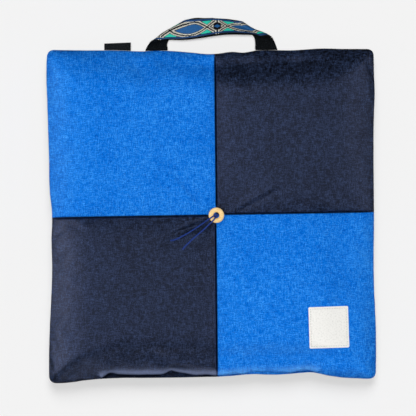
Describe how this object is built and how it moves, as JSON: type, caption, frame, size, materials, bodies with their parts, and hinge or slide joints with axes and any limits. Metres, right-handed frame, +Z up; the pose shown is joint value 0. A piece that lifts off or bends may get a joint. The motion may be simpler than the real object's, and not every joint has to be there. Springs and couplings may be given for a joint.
{
  "type": "outdoor seat cushion",
  "caption": "Flat square patchwork seat cushion, tufted in the middle through a wooden ring, with a webbing carrying handle, a side tag and a label patch.",
  "frame": {"origin": "middle of the flat underside, on the surface that the cushion lies on", "axes": "+X to the right seen from above with the handle at the top, +Y towards the handle, +Z up out of the patchwork face"},
  "size_m": [0.4034, 0.4466, 0.0507],
  "materials": {
    "pad_cloth": "slubby plain-weave cotton or canvas in blue and navy panels, matt",
    "webbing": "black woven polyester or cotton webbing, matt",
    "ribbon": "woven patterned ribbon, slight sheen",
    "tag_cloth": "folded black woven tape, matt",
    "patch_cloth": "white woven patch, slight sheen",
    "ring_wood": "pale turned wood, clear satin varnish",
    "tie_thread": "waxed blue tufting thread, low sheen"
  },
  "bodies": {
    "root": {"cushion": "pad_cloth", "handle_webbing": "webbing", "handle_ribbon": "ribbon", "side_tag": "tag_cloth", "label_patch": "patch_cloth", "ring": "ring_wood", "tie_knot": "tie_thread", "tie_end_a": "tie_thread", "tie_end_b": "tie_thread"}
  },
  "joints": []
}
